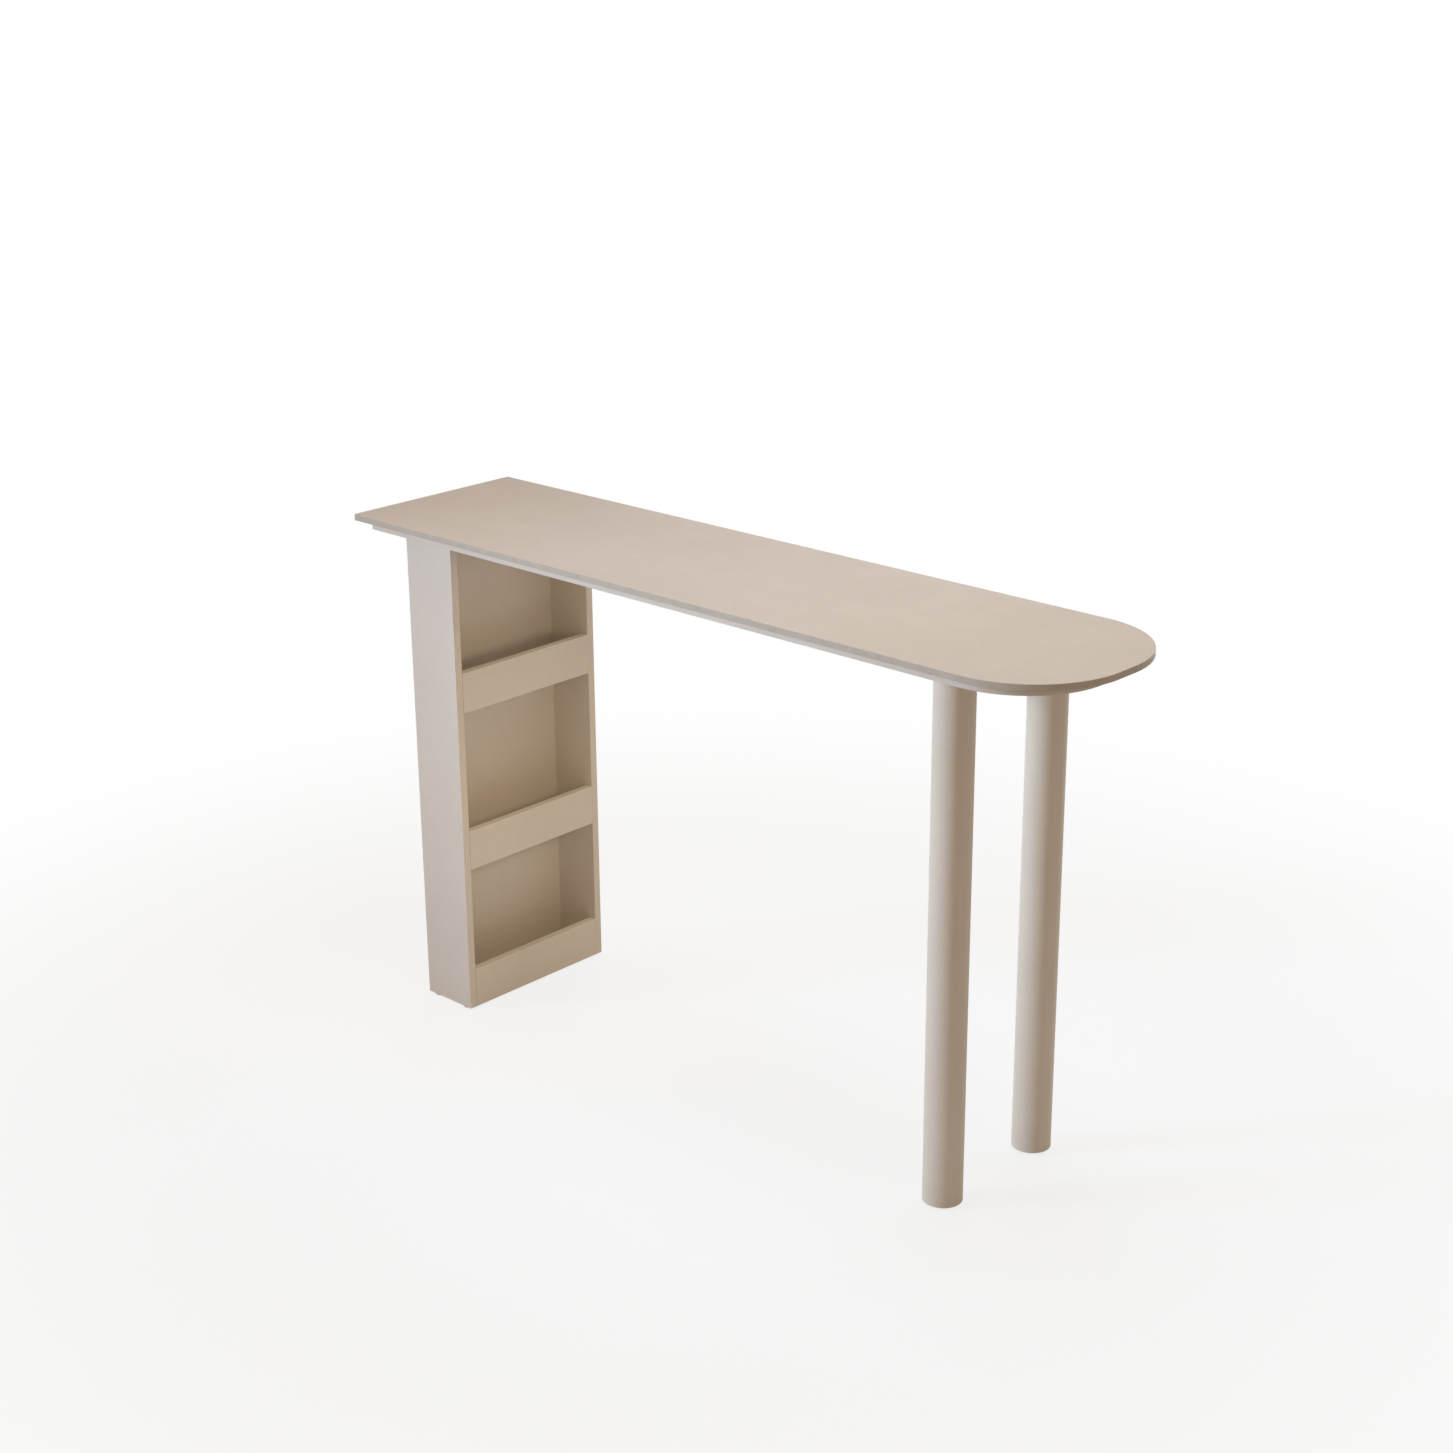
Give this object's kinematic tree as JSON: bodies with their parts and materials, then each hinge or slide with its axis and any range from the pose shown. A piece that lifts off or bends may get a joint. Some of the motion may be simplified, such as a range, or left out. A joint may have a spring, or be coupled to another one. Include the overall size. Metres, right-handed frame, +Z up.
{
  "type": "bar table with storage",
  "caption": "Narrow bar-height table: thin stone top with one rounded end on a set-back board, open shelf pedestal under the square end, round column legs under the other.",
  "frame": {"origin": "on the floor, under the middle of the overall box", "axes": "+X along the table towards the rounded end and the legs, +Y across it, +Z up"},
  "size_m": [1.65, 0.4, 0.98],
  "materials": {
    "slab_stone": "matte sintered stone",
    "laminate_board": "matte cream laminate on board",
    "edge_band": "matte cream edge band",
    "leg_coating": "matte cream powder coat on steel tube",
    "zinc_alloy": "die cast, dull",
    "plated_steel": "zinc plated",
    "dowel_beech": "plain fluted beech",
    "cap_plastic": "matte cream plastic",
    "glide_plastic": "matte grey plastic"
  },
  "bodies": {
    "table": {"stone_slab": "slab_stone", "underlay_board": "laminate_board", "underlay_edge_band": "edge_band", "near_side": "laminate_board", "far_side": "laminate_board", "back_panel": "laminate_board", "bottom_shelf": "laminate_board", "middle_shelf": "laminate_board", "upper_shelf": "laminate_board", "bottom_rail": "laminate_board", "middle_rail": "laminate_board", "upper_rail": "laminate_board", "side_edge_bands": "edge_band", "rail_edge_bands": "edge_band", "top_cam_discs": "zinc_alloy", "top_cam_bolts": "plated_steel", "top_dowels": "dowel_beech", "shelf_cam_discs": "zinc_alloy", "shelf_cam_bolts": "plated_steel", "shelf_dowels": "dowel_beech", "rail_cam_discs": "zinc_alloy", "rail_cam_bolts": "plated_steel", "rail_dowels": "dowel_beech", "back_cam_discs": "zinc_alloy", "back_cam_bolts": "plated_steel", "shelf_screws": "plated_steel", "cam_cover_caps": "cap_plastic", "pedestal_glides": "glide_plastic", "near_leg_tube": "leg_coating", "far_leg_tube": "leg_coating", "near_leg_socket": "plated_steel", "far_leg_socket": "plated_steel", "socket_screws": "plated_steel", "leg_grub_screws": "plated_steel", "near_leg_plug": "glide_plastic", "far_leg_plug": "glide_plastic"},
    "near_foot": {"near_foot_stem": "plated_steel", "near_foot_pad": "glide_plastic"},
    "far_foot": {"far_foot_stem": "plated_steel", "far_foot_pad": "glide_plastic"}
  },
  "joints": [
    {"name": "near_foot_screw", "type": "slide", "parent": "table", "child": "near_foot", "axis": [0, 0, -1], "range_m": [0, 0.009]},
    {"name": "far_foot_screw", "type": "slide", "parent": "table", "child": "far_foot", "axis": [0, 0, -1], "range_m": [0, 0.009]}
  ]
}
